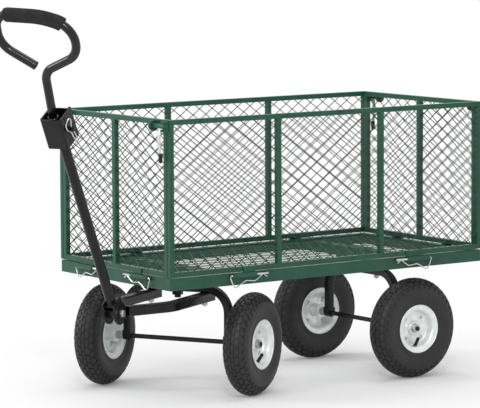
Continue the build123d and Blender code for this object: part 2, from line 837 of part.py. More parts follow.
def handle_path():
    """Middle line of the handle's tube above the hitch pin, from its foot round the loop to its free end."""
    points = [
        (0, 0, -handle_foot),
        (0, 0, handle_bend_height),
        (0, handle_near_y, handle_near_low),
        (0, handle_near_y, handle_near_high),
        (0, handle_crown_y, handle_crown_height),
        (0, handle_far_y, handle_far_high),
        (0, handle_far_y, handle_far_low),
        (0, handle_free_end_y, handle_free_end_height),
    ]
    radii = [
        handle_neck_radius,
        handle_corner_radius,
        handle_corner_radius,
        handle_crown_radius,
        handle_far_radius,
        handle_corner_radius,
    ]
    return FilletPolyline(*points, radius=radii)


def make_handle():
    """Bent tube: a straight shank with its collar and stop plate, then an open loop across it."""
    path = handle_path()
    inside = handle_tube_diameter - 2 * handle_tube_wall
    collar_top = handle_collar_above_pin + handle_collar_height
    tube = round_sweep(path, handle_tube_diameter)
    tube += upright(handle_collar_diameter, handle_collar_above_pin, collar_top)
    tube -= round_sweep(path, inside)
    bore = hitch_pin_diameter + 2 * running_clearance
    untilt = Rot(-handle_tilt, 0, 0)
    foot = along_y(bore + 2 * handle_tube_wall, -handle_tube_diameter / 2, handle_tube_diameter / 2)
    foot += stop_plate()
    return tube + untilt * foot - untilt * along_y(bore, -handle_tube_diameter, handle_tube_diameter)


def stop_plate():
    """Plate behind the handle's foot that closes the hitch box's slot, with the web that carries it."""
    half = clevis_slot_width / 2 - stop_plate_clearance
    top = clevis_height - hitch_pin_above_floor
    back = stop_plate_x + stop_plate_thickness
    plate_low = (stop_plate_x, -handle_shift - half, -stop_plate_below_pin)
    plate = box_between(plate_low, (back, half - handle_shift, top))
    web_half = handle_tube_diameter / 4
    web_low = (handle_tube_diameter / 2 - handle_tube_wall, -web_half, hitch_pin_diameter)
    return plate + box_between(web_low, (back, web_half, handle_collar_above_pin))


def make_grip():
    """Foam sleeve on the crown of the loop."""
    path = handle_path()
    part = path.trim(grip_start / path.length, (grip_start + grip_length) / path.length)
    return round_sweep(part, grip_diameter) - round_sweep(part, handle_tube_diameter + 2 * grip_clearance)


nodes = {}


def add(name, *pieces):
    """Keep the solids of one sub-part under its name."""
    nodes[name] = [solid for piece in pieces for solid in piece.solids()]


add("bed_frame", make_bed_frame())
add("bed_floor", make_floor())
add("front_bolster", make_front_bolster())
add("rear_bolster", make_rear_bolster())
knuckles = []
for side_name in SIDES:
    gap_between = hinge_spacing_long if side_name in ("near", "far") else hinge_spacing_end
    knuckles += [side_place(side_name) * bed_knuckle(end * gap_between / 2, end) for end in (-1, 1)]
    make_panel(side_name)
add("bed_hinge_knuckles", *knuckles)

add("rear_arch", rear_place * make_rear_arch())
add("rear_axle_rod", rear_place * make_axle_rod())
add("rear_axle_hardware", *[rear_place * piece for piece in make_axle_hardware()])
add("rear_arch_bolts", *[rear_place * piece for piece in bolts_at(rear_bolt_y, saddle_top, arch_low)])
add("front_arch", steer_place * make_front_arch())
add("front_axle_rod", steer_place * make_axle_rod())
add("front_axle_hardware", *[steer_place * piece for piece in make_axle_hardware()])
add("kingpin", *[steer_place * piece for piece in make_kingpin()])
add("turntable_washer", steer_place * make_turntable_washer())
add("steering_yoke", steer_place * make_yoke())
add("yoke_bolts", *[steer_place * piece for piece in bolts_at(yoke_leg_y, arch_top, yoke_low)])

add("drawbar", drawbar_place * make_drawbar())
add("drawbar_fork", drawbar_place * make_fork())
add("drawbar_pivot_bolt", *[drawbar_place * piece for piece in make_pivot_bolt()])
add("hitch_clevis", drawbar_place * make_clevis())
add("hitch_pin", drawbar_place * make_hitch_pin())
add("hitch_pin_clip", drawbar_place * make_clip())
add("handle_tube", handle_place * make_handle())
add("handle_grip", handle_place * make_grip())

for axle, axle_place in (("front", steer_place), ("rear", rear_place)):
    make_wheel(f"{axle}_near_wheel", axle_place * Pos(0, -half_track, axle_z) * Rot(0, 0, 180))
    make_wheel(f"{axle}_far_wheel", axle_place * Pos(0, half_track, axle_z))

os.makedirs("parts", exist_ok=True)
for name, solids in nodes.items():
    export_step(Compound(children=solids), f"parts/{name}.step")
print(len(nodes), "nodes,", sum(len(solids) for solids in nodes.values()), "solids")
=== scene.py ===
from math import cos, hypot, pi, radians, sin, tan

import bmesh
import bpy
from mathutils import Matrix, Vector, noise


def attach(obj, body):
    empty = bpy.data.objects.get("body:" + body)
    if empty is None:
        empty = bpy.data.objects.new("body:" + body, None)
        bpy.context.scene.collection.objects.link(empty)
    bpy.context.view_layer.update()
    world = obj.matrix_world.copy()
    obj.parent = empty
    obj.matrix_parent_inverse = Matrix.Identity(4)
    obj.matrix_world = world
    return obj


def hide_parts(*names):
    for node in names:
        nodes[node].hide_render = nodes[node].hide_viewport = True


# A garden cart: green mesh tray on four pneumatic wheels, with a black drawbar and handle.
# Sizes are in millimetres, in the frame of the solids: +X to the tail, -Y to the near side, +Z up.

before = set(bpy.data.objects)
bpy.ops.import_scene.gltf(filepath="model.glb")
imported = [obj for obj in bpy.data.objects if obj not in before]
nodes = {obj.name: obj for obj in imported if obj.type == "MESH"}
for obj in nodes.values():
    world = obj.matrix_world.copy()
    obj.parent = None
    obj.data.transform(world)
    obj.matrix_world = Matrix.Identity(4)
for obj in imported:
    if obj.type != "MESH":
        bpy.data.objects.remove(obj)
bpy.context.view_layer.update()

MM = 0.001

# Tray and sides
BED_LENGTH = 985
BED_WIDTH = 495
FLOOR_TOP = 320.5
PANEL_LOW = 325.5
PANEL_TOP = 711
PANEL_TUBE = 12.5
PANEL_PROUD = 0.4
CORNER_GAP = 1.5
LONG_PANEL = BED_LENGTH + 2 * PANEL_PROUD
END_PANEL = BED_WIDTH + 2 * (PANEL_PROUD - PANEL_TUBE - CORNER_GAP)
SIDES = {
    "near": (0, BED_WIDTH / 2, LONG_PANEL, 3, 552),
    "rear": (90, BED_LENGTH / 2, END_PANEL, 2, 248),
    "far": (180, BED_WIDTH / 2, LONG_PANEL, 3, 552),
    "front": (270, BED_LENGTH / 2, END_PANEL, 2, 248),
}

# Wire net of the sides and expanded metal of the floor
NET_WIDE = 41
NET_HIGH = 29.75
NET_WIRE = 2.3
MESH_WIDE = 34
MESH_LONG = 62
MESH_STRAND = 4.6
MESH_SHEET = 1.8

# Hinge lock pins
HINGE_Y = -7
HINGE_Z = 317
PIN_WIRE = 6
PIN_REACH = 55.7
PIN_SHIFT = -17
BAIL_WIRE = 3

# Corner latches
LATCH_Y = -10.5
LATCH_Z = PANEL_TOP - PANEL_TUBE / 2 - 9
LATCH_ROD = 12
LATCH_ROD_OUT = 246.6
LATCH_ROD_IN = END_PANEL / 2 - 51
LEVER_X = END_PANEL / 2 - 11
LEVER_WIDE = 13
LEVER_THICK = 3
LEVER_LONG = 66
TIP_LONG = 25

# Wheels
AXLE_Z = 130
HALF_TRACK = 210
FRONT_AXLE_X = -301
REAR_AXLE_X = 291
STEER = 28.5
WHEEL_STEPS = 96
TYRE_ROUND = 32.5
TYRE_CENTRE = 97.5
TREAD_DEEP = 2.0
TREAD_PITCHES = 38
RIM_BOLT_RING = 36
VALVE_LEAN = 33

# Drawbar and handle
YOKE_TUBE = 25
YOKE_LEG_Y = 76
YOKE_TAIL = 35
YOKE_REACH = 342
PIVOT_Z = 240.45
PIVOT_SEAT = 20
PIVOT_WASHER = 2.5
DRAWBAR_LEAN = 29.5
HITCH_PIN = 543
CLEVIS_WIDE = 55
HANDLE_SHIFT = 10.4
HANDLE_TILT = 6.5
HANDLE_TUBE = 21
HANDLE_WALL = 2
COLLAR_START = 27
COLLAR_HIGH = 6
COLLAR_HALF = 13.5
STOP_X = 23.5
STOP_PLATE = (3, 41.4, 44)
HANDLE_LINE = [
    (0, 0, -20), (0, 0, 159), (0, -94, 217.5), (0, -94, 294),
    (0, -17, 312), (0, 106, 304), (0, 106, 220), (0, 22, 173),
]
HANDLE_BENDS = [45, 55, 55, 200, 40, 55]
GRIP_START = 368
GRIP_LONG = 148
GRIP_WIDE = 34


def turn(degrees, axis):
    return Matrix.Rotation(radians(degrees), 4, axis)


def shift(x=0, y=0, z=0):
    return Matrix.Translation((x, y, z))


steer_place = shift(FRONT_AXLE_X) @ turn(STEER, "Z")
rear_place = shift(REAR_AXLE_X)
drawbar_place = steer_place @ shift(-YOKE_REACH, 0, PIVOT_Z) @ turn(-DRAWBAR_LEAN, "Y")
handle_place = drawbar_place @ shift(0, HANDLE_SHIFT, HITCH_PIN) @ turn(HANDLE_TILT, "X")


def side_place(side):
    """X runs along the side, -Y outwards, and Y = 0 is the apron's outer face."""
    angle, half = SIDES[side][:2]
    return turn(angle, "Z") @ shift(0, -half)


# Materials

def linear(hexa):
    """A linear colour from an sRGB hex value."""
    shares = [int(hexa[i:i + 2], 16) / 255 for i in (1, 3, 5)]
    return [s / 12.92 if s <= 0.04045 else ((s + 0.055) / 1.055) ** 2.4 for s in shares] + [1.0]


def add_node(tree, kind, inputs, **settings):
    """One node with its settings; an input is a value or a socket to link from."""
    made = tree.nodes.new(kind)
    for key, value in settings.items():
        setattr(made, key, value)
    for name, value in inputs.items():
        if isinstance(value, bpy.types.NodeSocket):
            tree.links.new(value, made.inputs[name])
        else:
            made.inputs[name].default_value = value
    return made


def finish(name, colours, rough, metal=0.0, grain_mm=1.5, bump=0.05, patch_mm=60, specular=0.5):
    """A surface whose colour drifts in patches and whose fine grain shows in bump and gloss."""
    made = bpy.data.materials.new(name)
    made.use_nodes = True
    tree = made.node_tree
    shader = tree.nodes["Principled BSDF"]
    where = add_node(tree, "ShaderNodeTexCoord", {}).outputs["Object"]
    patch_scale = 1 / (patch_mm * MM)
    grain_scale = 1 / (grain_mm * MM)
    patch = add_node(tree, "ShaderNodeTexNoise", {"Vector": where, "Scale": patch_scale, "Detail": 3.0})
    grain = add_node(tree, "ShaderNodeTexNoise", {"Vector": where, "Scale": grain_scale, "Detail": 2.0})
    tint = add_node(tree, "ShaderNodeValToRGB", {"Fac": patch.outputs["Fac"]})
    tint.color_ramp.elements[0].position = 0.35
    tint.color_ramp.elements[1].position = 0.65
    tint.color_ramp.elements[0].color = linear(colours[0])
    tint.color_ramp.elements[1].color = linear(colours[1])
    gloss = add_node(
        tree, "ShaderNodeMapRange", {"Value": patch.outputs["Fac"], "To Min": rough[0], "To Max": rough[1]})
    relief = add_node(
        tree, "ShaderNodeBump", {"Height": grain.outputs["Fac"], "Strength": bump, "Distance": MM})
    tree.links.new(tint.outputs["Color"], shader.inputs["Base Color"])
    tree.links.new(gloss.outputs["Result"], shader.inputs["Roughness"])
    tree.links.new(relief.outputs["Normal"], shader.inputs["Normal"])
    shader.inputs["Metallic"].default_value = metal
    shader.inputs["Specular IOR Level"].default_value = specular
    return made


# Powder coat cures to a satin skin with a faint orange peel, so edges catch a soft light
green_coat = finish(
    "green_powder_coat", ("#1b4a3a", "#215341"), (0.24, 0.34), grain_mm=1.6, bump=0.08, specular=0.3)
# The net's wire has the same coat, dipped thinner and darker
net_coat = finish(
    "green_dipped_wire", ("#17231d", "#1f2e27"), (0.28, 0.40), grain_mm=1.0, bump=0.08, specular=0.4)
# Expanded sheet: the same green, duller in the cut strands
mesh_coat = finish(
    "green_expanded_sheet", ("#214b3b", "#2a5645"), (0.42, 0.56), grain_mm=1.2, bump=0.15, specular=0.25)
# Black powder coat on tube and plate: satin with soft grey highlights
black_coat = finish(
    "black_powder_coat", ("#121213", "#181919"), (0.22, 0.32), grain_mm=1.4, bump=0.06, specular=0.25)
# The handle's tube is sprayed gloss black over drawn tube
black_gloss = finish(
    "black_gloss_paint", ("#060607", "#0a0a0b"), (0.22, 0.28), grain_mm=3.0, bump=0.02, specular=0.42)
# Nitrile foam: closed cells, matt and dark grey
foam = finish(
    "nitrile_foam", ("#262627", "#2f2f30"), (0.82, 0.95),
    grain_mm=1.2, bump=0.55, patch_mm=18, specular=0.12)
# Bright zinc plating on pressed steel, with a cloudy passivated bloom
zinc_rim = finish(
    "zinc_plated_pressing", ("#dfe3e1", "#f1f3f2"), (0.30, 0.45), metal=0.4, grain_mm=2.0, patch_mm=14)
# Zinc on spring wire, bolts and nuts: brighter, finer
zinc_wire = finish(
    "zinc_plated_wire", ("#c4c6c4", "#dadcda"), (0.22, 0.34), metal=1.0,
    grain_mm=0.8, bump=0.04, patch_mm=9)
zinc_bolt = finish(
    "zinc_plated_bolt", ("#a9adac", "#c6c9c8"), (0.28, 0.42), metal=1.0,
    grain_mm=0.8, bump=0.06, patch_mm=7)
# Hot-dip galvanised lever: pale, dull spangle
galvanised = finish(
    "galvanised_lever", ("#b9bdbb", "#d8dbd9"), (0.38, 0.55), metal=0.6,
    grain_mm=1.5, bump=0.06, patch_mm=8)
# Carbon-black rubber, moulded: matt with a faint bloom
tyre_rubber = finish(
    "moulded_tyre_rubber", ("#1b1b1b", "#252525"), (0.42, 0.58),
    grain_mm=1.3, bump=0.15, patch_mm=35, specular=0.4)
valve_rubber = finish(
    "valve_rubber", ("#121212", "#191919"), (0.50, 0.66), grain_mm=0.8, bump=0.12, patch_mm=8, specular=0.3)
# Dipped vinyl sleeve and moulded plugs: soft black
black_vinyl = finish(
    "black_vinyl", ("#111111", "#191919"), (0.42, 0.58), grain_mm=0.9, bump=0.10, patch_mm=10, specular=0.3)


# Mesh helpers

def keep(bm, name, body, material, place=None, replaces=(), crease=38):
    """Turn a bmesh in millimetres into a piece that rides on a body."""
    bmesh.ops.transform(bm, matrix=Matrix.Scale(MM, 4) @ (place or Matrix()), verts=bm.verts)
    mesh = bpy.data.meshes.new(name)
    bm.to_mesh(mesh)
    bm.free()
    mesh.polygons.foreach_set("use_smooth", [True] * len(mesh.polygons))
    mesh.set_sharp_from_angle(angle=radians(crease))
    mesh.materials.append(material)
    piece = bpy.data.objects.new(name, mesh)
    bpy.context.scene.collection.objects.link(piece)
    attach(piece, body)
    if replaces:
        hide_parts(*replaces)
    return piece


def join(bm, other, place=None):
    """Move the contents of another bmesh into this one."""
    if place is not None:
        bmesh.ops.transform(other, matrix=place, verts=other.verts)
    spare = bpy.data.meshes.new("spare")
    other.to_mesh(spare)
    other.free()
    bm.from_mesh(spare)
    bpy.data.meshes.remove(spare)


def spun(profile, steps=WHEEL_STEPS, closed=True):
    """Spin a line of (along, radius) points about the Y axis."""
    bm = bmesh.new()
    verts = [bm.verts.new((0, along, radius)) for along, radius in profile]
    edges = [bm.edges.new(pair) for pair in zip(verts, verts[1:])]
    if closed:
        edges.append(bm.edges.new((verts[-1], verts[0])))
    bmesh.ops.spin(
        bm, geom=verts + edges, axis=(0, 1, 0), cent=(0, 0, 0), angle=2 * pi, steps=steps, use_merge=True)
    bmesh.ops.remove_doubles(bm, verts=bm.verts, dist=0.03)
    bmesh.ops.recalc_face_normals(bm, faces=bm.faces)
    return bm


def bar(start, end, diameter, sides=6):
    """A straight round bar between two points."""
    along = Vector(end) - Vector(start)
    bm = bmesh.new()
    bmesh.ops.create_cone(
        bm, cap_ends=True, segments=sides, radius1=diameter / 2, radius2=diameter / 2, depth=along.length)
    middle = (Vector(start) + Vector(end)) / 2
    place = Matrix.Translation(middle) @ along.to_track_quat("Z", "Y").to_matrix().to_4x4()
    bmesh.ops.transform(bm, matrix=place, verts=bm.verts)
    return bm


def block(size, bevel, place=None):
    """A box with rounded edges."""
    bm = bmesh.new()
    bmesh.ops.create_cube(bm, size=1)
    bmesh.ops.scale(bm, vec=size, verts=bm.verts)
    bmesh.ops.bevel(
        bm, geom=bm.edges, offset=bevel, affect="EDGES", segments=2, profile=0.5, material=-1)
    if place is not None:
        bmesh.ops.transform(bm, matrix=place, verts=bm.verts)
    return bm


def bent_wire(points, diameter, smooth=3):
    """A round wire along a smooth line that is led by its points."""
    line = bpy.data.curves.new("line", "CURVE")
    line.dimensions = "3D"
    line.bevel_depth = diameter / 2
    line.bevel_resolution = 2
    line.resolution_u = 6
    line.use_fill_caps = True
    spline = line.splines.new("NURBS")
    spline.points.add(len(points) - 1)
    for point, place in zip(spline.points, points):
        point.co = (*place, 1)
    spline.order_u = smooth
    spline.use_endpoint_u = True
    holder = bpy.data.objects.new("line", line)
    mesh = bpy.data.meshes.new_from_object(holder)
    bm = bmesh.new()
    bm.from_mesh(mesh)
    bmesh.ops.recalc_face_normals(bm, faces=bm.faces)
    bpy.data.objects.remove(holder)
    bpy.data.curves.remove(line)
    bpy.data.meshes.remove(mesh)
    return bm


# Net of the sides: straight wires in two layers, welded where they cross

def net_lines(width, height, rising):
    """The straight wires of one layer, cut off at the edges of a bay."""
    slope = NET_HIGH / NET_WIDE * (1 if rising else -1)
    reach = height / 2 + width / 2 * abs(slope)
    count = int(reach / NET_HIGH) + 1
    for index in range(-count, count + 1):
        middle = (index + 0.25) * NET_HIGH
        ends = []
        crossings = (height / 2 - middle) / slope, (-height / 2 - middle) / slope
        for x in sorted((-width / 2, width / 2, *crossings)):
            z = middle + slope * x
            if abs(x) <= width / 2 + 0.01 and abs(z) <= height / 2 + 0.01:
                ends.append((x, z))
        if len(ends) >= 2 and hypot(ends[-1][0] - ends[0][0], ends[-1][1] - ends[0][1]) > 2 * NET_WIRE:
            yield ends[0], ends[-1]


def side_net(side):
    """All the wires of one side."""
    length, bays = SIDES[side][2:4]
    pitch = (length - PANEL_TUBE) / bays
    height = PANEL_TOP - PANEL_LOW - 2 * PANEL_TUBE
    middle_z = (PANEL_TOP + PANEL_LOW) / 2
    middle_y = PANEL_TUBE / 2 - PANEL_PROUD
    inset = 1.0
    bm = bmesh.new()
    for bay in range(bays):
        middle_x = (bay - (bays - 1) / 2) * pitch
        for rising, layer in ((True, -0.42), (False, 0.42)):
            y = middle_y + layer * NET_WIRE
            for start, end in net_lines(pitch - PANEL_TUBE + 2 * inset, height + 2 * inset, rising):
                low = (middle_x + start[0], y, middle_z + start[1])
                high = (middle_x + end[0], y, middle_z + end[1])
                join(bm, bar(low, high, NET_WIRE))
    return bm


for side in SIDES:
    keep(side_net(side), f"{side}_wire_net", f"{side}_panel", net_coat, side_place(side),
         replaces=[f"{side}_panel_net"])


# Weld beads in the corners of the side frames

def weld(start, end, thick, step=2.2):
    """A bead of weld: a row of overlapping ripples between two points."""
    start, end = Vector(start), Vector(end)
    count = max(3, int((end - start).length / step))
    points = []
    for index in range(count + 1):
        stray = noise.noise_vector(start * 0.37 + Vector((index * 1.7, 0, 0))) * thick * 0.08
        points.append(start.lerp(end, index / count) + stray)
    return bent_wire(points, thick)


def side_welds(side):
    length, bays = SIDES[side][2:4]
    pitch = (length - PANEL_TUBE) / bays
    back = PANEL_TUBE - PANEL_PROUD - 1.5
    front = 1.5 - PANEL_PROUD
    bm = bmesh.new()
    for bay in range(bays):
        for edge in (-1, 1):
            x = (bay - (bays - 1) / 2) * pitch + edge * (pitch - PANEL_TUBE) / 2
            for z in (PANEL_LOW + PANEL_TUBE, PANEL_TOP - PANEL_TUBE):
                join(bm, weld((x, front, z), (x, back, z), 3.0))
    return bm


for side in SIDES:
    keep(side_welds(side), f"{side}_frame_welds", f"{side}_panel", green_coat, side_place(side))


# Floor of expanded metal: strands that part and meet again

def floor_mesh():
    width = BED_LENGTH - 2 * 8
    depth = BED_WIDTH - 2 * 8
    columns = round(width / MESH_WIDE)
    rows = round(depth / MESH_LONG)
    step_x = width / columns / 2
    step_y = depth / rows / 2
    bm = bmesh.new()
    lean = radians(28)
    for i in range(2 * columns):
        for j in range(2 * rows):
            rising = (i + j) % 2 == 0
            low = Vector((i * step_x - width / 2, (j if rising else j + 1) * step_y - depth / 2, 0))
            high = Vector(((i + 1) * step_x - width / 2, (j + 1 if rising else j) * step_y - depth / 2, 0))
            along = high - low
            strand = bmesh.new()
            bmesh.ops.create_cube(strand, size=1)
            size = (along.length + MESH_STRAND * 0.5, MESH_STRAND * 0.62, MESH_SHEET)
            bmesh.ops.scale(strand, vec=size, verts=strand.verts)
            angle = Vector((1, 0)).angle_signed(along.to_2d())
            place = Matrix.Translation((low + high) / 2) @ Matrix.Rotation(-angle, 4, "Z")
            join(bm, strand, place @ Matrix.Rotation(lean if rising else -lean, 4, "X"))
    return bm


keep(floor_mesh(), "expanded_floor", "chassis", mesh_coat, shift(0, 0, FLOOR_TOP - 1.7),
     replaces=["bed_floor"])


# Hinge lock pins with spring bails

BAIL = [
    (-52, -8.6), (-46, -4.5), (-41, -0.5), (-35, -4), (-19, -14.5), (-15, -16.5), (-11, -16.2), (7, -14),
    (11, -13.6), (15, -14.6), (38, -27), (43, -29.5), (48, -28), (53, -19), (58.5, -7), (59, -2), (57, 1),
    (53, 1.5),
]


def lock_pin():
    """The pin and its bail, made for the +X hinge of a side."""
    bm = bar((-PIN_REACH, 0, 0), (PIN_REACH, 0, 0), PIN_WIRE, sides=16)
    rims = [e for e in bm.edges if abs(e.verts[0].co.x - e.verts[1].co.x) < 1]
    bmesh.ops.bevel(bm, geom=rims, offset=1.2, affect="EDGES", segments=2, profile=0.5, material=-1)
    join(bm, bent_wire([(x, 0, z) for x, z in BAIL], BAIL_WIRE))
    bmesh.ops.translate(bm, vec=(PIN_SHIFT, 0, 0), verts=bm.verts)
    return bm


def mirrored(bm):
    bmesh.ops.scale(bm, vec=(-1, 1, 1), verts=bm.verts)
    bmesh.ops.reverse_faces(bm, faces=bm.faces)
    return bm


for side in SIDES:
    half_spacing = SIDES[side][4] / 2
    pins = bmesh.new()
    join(pins, lock_pin(), shift(half_spacing, HINGE_Y, HINGE_Z))
    join(pins, mirrored(lock_pin()), shift(-half_spacing, HINGE_Y, HINGE_Z))
    keep(pins, f"{side}_wire_lock_pins", f"{side}_lock_pin_pair", zinc_wire, side_place(side),
         replaces=[f"{side}_lock_pins"])


# Corner latches: rod, bowed lever and vinyl sleeve

def latch_rod():
    """The rod that turns in the eye, made for the +X end of a side."""
    bm = bar((LATCH_ROD_IN, LATCH_Y, LATCH_Z), (LATCH_ROD_OUT, LATCH_Y, LATCH_Z), LATCH_ROD, sides=24)
    rims = [e for e in bm.edges if abs(e.verts[0].co.x - e.verts[1].co.x) < 1]
    bmesh.ops.bevel(bm, geom=rims, offset=1.5, affect="EDGES", segments=2, profile=0.5, material=-1)
    return bm


def latch_lever():
    """The flat bar, bowed outwards and narrower towards its sleeve."""
    long = LEVER_LONG + 14
    flat = bmesh.new()
    bmesh.ops.create_cube(flat, size=1)
    bmesh.ops.scale(flat, vec=(LEVER_WIDE, LEVER_THICK, long), verts=flat.verts)
    uprights = [e for e in flat.edges if abs((e.verts[0].co - e.verts[1].co).z) > 1]
    bmesh.ops.subdivide_edges(flat, edges=uprights, cuts=9, use_grid_fill=True)
    edges = [e for e in flat.edges if e.calc_face_angle(0) > 1]
    bmesh.ops.bevel(flat, geom=edges, offset=0.9, affect="EDGES", segments=2, profile=0.5, material=-1)
    for vert in flat.verts:
        share = vert.co.z / long + 0.5
        vert.co.y -= 4.5 * sin(pi * share)
        vert.co.x *= 0.72 + 0.28 * share
    bmesh.ops.transform(flat, matrix=shift(LEVER_X, LATCH_Y, LATCH_Z + 4 - long / 2), verts=flat.verts)
    return flat


SLEEVE = [(0, 0.01), (0, 5.6), (1.2, 7.0), (TIP_LONG - 5, 6.4), (TIP_LONG - 1.5, 4.6), (TIP_LONG, 0.01)]


def lever_sleeve():
    bm = spun(SLEEVE, steps=24, closed=False)
    bmesh.ops.transform(bm, matrix=turn(-90, "X"), verts=bm.verts)
    bmesh.ops.scale(bm, vec=(1.0, 0.62, 1.0), verts=bm.verts)
    bmesh.ops.transform(bm, matrix=shift(LEVER_X, LATCH_Y, LATCH_Z - LEVER_LONG), verts=bm.verts)
    return bm


for side, near_is_plus in (("front", True), ("rear", False)):
    for end, is_plus in (("near", near_is_plus), ("far", not near_is_plus)):
        pieces = [latch_rod(), latch_lever(), lever_sleeve()]
        rod, lever, sleeve = pieces if is_plus else [mirrored(piece) for piece in pieces]
        body = f"{side}_{end}_latch"
        place = side_place(side)
        replaced = [f"{side}_{end}_latch_lever"]
        keep(rod, f"{side}_{end}_rod", body, green_coat, place, replaced)
        keep(lever, f"{side}_{end}_lever", body, galvanised, place)
        keep(sleeve, f"{side}_{end}_lever_sleeve", body, black_vinyl, place)


# Wheels, made with the outboard side towards +Y

# Half of a tyre's section below the tread: across and radius, from the shoulder to the bead
SIDEWALL = [
    (31.6, 106.0), (32.6, 101.5), (33.0, 97.0), (32.7, 91.0), (31.7, 84.5), (30.4, 78.6), (29.7, 76.6),
    (29.9, 75.6), (29.2, 74.2), (29.4, 71.0), (29.0, 66.4), (28.2, 64.2), (27.6, 63.2), (25.0, 62.6),
    (25.0, 51.4),
]

# Lean from the crown, length round the tyre, width, height, skew, share of a pitch
TREAD = [
    (8, 17.5, 7.8, 4.0, 0.45, 0.0),
    (26, 16.2, 10.6, 4.0, -0.35, 0.45),
    (47, 14.6, 10.6, 4.0, 0.30, 0.95),
    (70, 9.5, 11.0, 3.8, 0.0, 0.45),
]


def tyre_body():
    """The carcass: a round tread floor between two sidewalls."""
    leans = [radians(9 * i) for i in range(9)]
    floor_round = TYRE_ROUND - TREAD_DEEP
    half = [(floor_round * sin(t), TYRE_CENTRE + floor_round * cos(t)) for t in leans] + SIDEWALL
    return spun(half + [(-across, radius) for across, radius in reversed(half[1:])])


def tyre_blocks():
    bm = bmesh.new()
    for lean, long, wide, high, skew, share in TREAD:
        for side in (-1, 1):
            slant = Matrix.Identity(4)
            slant[0][1] = skew * side
            for pitch in range(TREAD_PITCHES):
                angle = 360 / TREAD_PITCHES * (pitch + share + side * 0.25)
                place = turn(angle, "Y") @ shift(0, 0, TYRE_CENTRE) @ turn(-side * lean, "X")
                join(bm, block((long, wide, high), 1.0, place @ shift(0, 0, TYRE_ROUND - high / 2) @ slant))
    return bm


# Along the axle and radius of the pressed halves of a rim, from the hub to the lip
RIM_OUT = [
    (3.6, 17.6), (4.0, 26.0), (4.2, 41.0), (5.0, 44.2), (7.0, 46.2), (10.5, 47.3), (20, 48.2), (23.4, 49.6),
    (25.2, 52.0), (26.2, 55.5), (26.8, 59.5), (27.8, 62.2), (29.2, 63.0), (30.2, 62.2),
]
RIM_IN = [
    (0.9, 17.6), (0.95, 24.0), (0.97, 30.5), (1.0, 38.5), (2.2, 41.5), (5.0, 44.2), (9.0, 46.4), (15, 47.8),
    (20.5, 48.6), (23.2, 50.4), (24.6, 53.4), (25.2, 57.0), (25.8, 60.4), (27.2, 62.6), (29.0, 63.0),
    (30.2, 62.0),
]
RIB_DEEP = 2.4


def rim_half(profile):
    bm = spun(profile, closed=False)
    bmesh.ops.solidify(bm, geom=bm.faces, thickness=1.3)
    return bm


def ribbed_half():
    """The inboard half, with four channels pressed into its disc."""
    bm = spun(RIM_IN, closed=False)
    disc = [e for e in bm.edges if all(v.co.y < 1.02 for v in e.verts)]
    spokes = [e for e in disc if abs(hypot(*e.verts[0].co.xz) - hypot(*e.verts[1].co.xz)) > 2]
    bmesh.ops.subdivide_edges(bm, edges=spokes, cuts=2, use_grid_fill=True)
    for vert in bm.verts:
        radius = hypot(*vert.co.xz)
        if 18 < radius < 38:
            around = cos(4 * Vector(vert.co.xz).angle_signed(Vector((1, 0))))
            dip = max(0.0, min(1.0, (around + 0.15) * 2.2))
            edge = min(1.0, (38 - radius) / 4)
            vert.co.y += RIB_DEEP * (1 - dip * edge)
    bmesh.ops.recalc_face_normals(bm, faces=bm.faces)
    bmesh.ops.solidify(bm, geom=bm.faces, thickness=1.3)
    bmesh.ops.scale(bm, vec=(1, -1, 1), verts=bm.verts)
    bmesh.ops.reverse_faces(bm, faces=bm.faces)
    return bm


def make_hub():
    profile = [
        (12, 16.2), (11.2, 17), (-35.2, 17), (-36, 16.2), (-36, 13.2), (-35, 13.2), (-35, 9.0), (-35.7, 9.0),
        (-35.7, 6.3), (11.7, 6.3), (11.7, 9.0), (11, 9.0), (11, 13.2), (12, 13.2),
    ]
    bm = spun(profile, steps=48)
    for along in (10.6, -34.6):
        for index in range(9):
            ball = bmesh.new()
            bmesh.ops.create_icosphere(ball, subdivisions=2, radius=1.9)
            join(bm, ball, turn(40 * index, "Y") @ shift(0, along, 11.1))
    return bm


def hexagon(flats, high, chamfer=0.9):
    """A hexagon head standing on Z = 0, with its top corners chamfered."""
    bm = bmesh.new()
    radius = flats / 3 ** 0.5
    bmesh.ops.create_cone(bm, cap_ends=True, segments=6, radius1=radius, radius2=radius, depth=high)
    top = [e for e in bm.edges if all(v.co.z > 0 for v in e.verts)]
    bmesh.ops.bevel(bm, geom=top, offset=chamfer, affect="EDGES", segments=2, profile=0.5, material=-1)
    bmesh.ops.transform(bm, matrix=shift(0, 0, high / 2), verts=bm.verts)
    return bm


def washer(wide, bore, thick):
    rim = [(0, wide / 2 - 0.3), (0.3, wide / 2), (thick - 0.3, wide / 2), (thick, wide / 2 - 0.3)]
    bm = spun([(0, bore / 2)] + rim + [(thick, bore / 2)], steps=32)
    bmesh.ops.transform(bm, matrix=turn(90, "X"), verts=bm.verts)
    return bm


def stud(diameter, low, high):
    """The threaded end of a bolt, with a row of fine ridges for the thread."""
    pitch = diameter * 0.15
    count = max(2, int((high - low) / pitch))
    step = (high - low) / count
    profile = [(low, 0.01)]
    for index in range(count):
        profile += [(low + index * step, diameter * 0.45), (low + (index + 0.5) * step, diameter * 0.5)]
    profile += [(high, diameter * 0.43), (high, 0.01)]
    bm = spun([(-along, radius) for along, radius in profile], steps=20, closed=False)
    bmesh.ops.transform(bm, matrix=turn(-90, "X"), verts=bm.verts)
    return bm


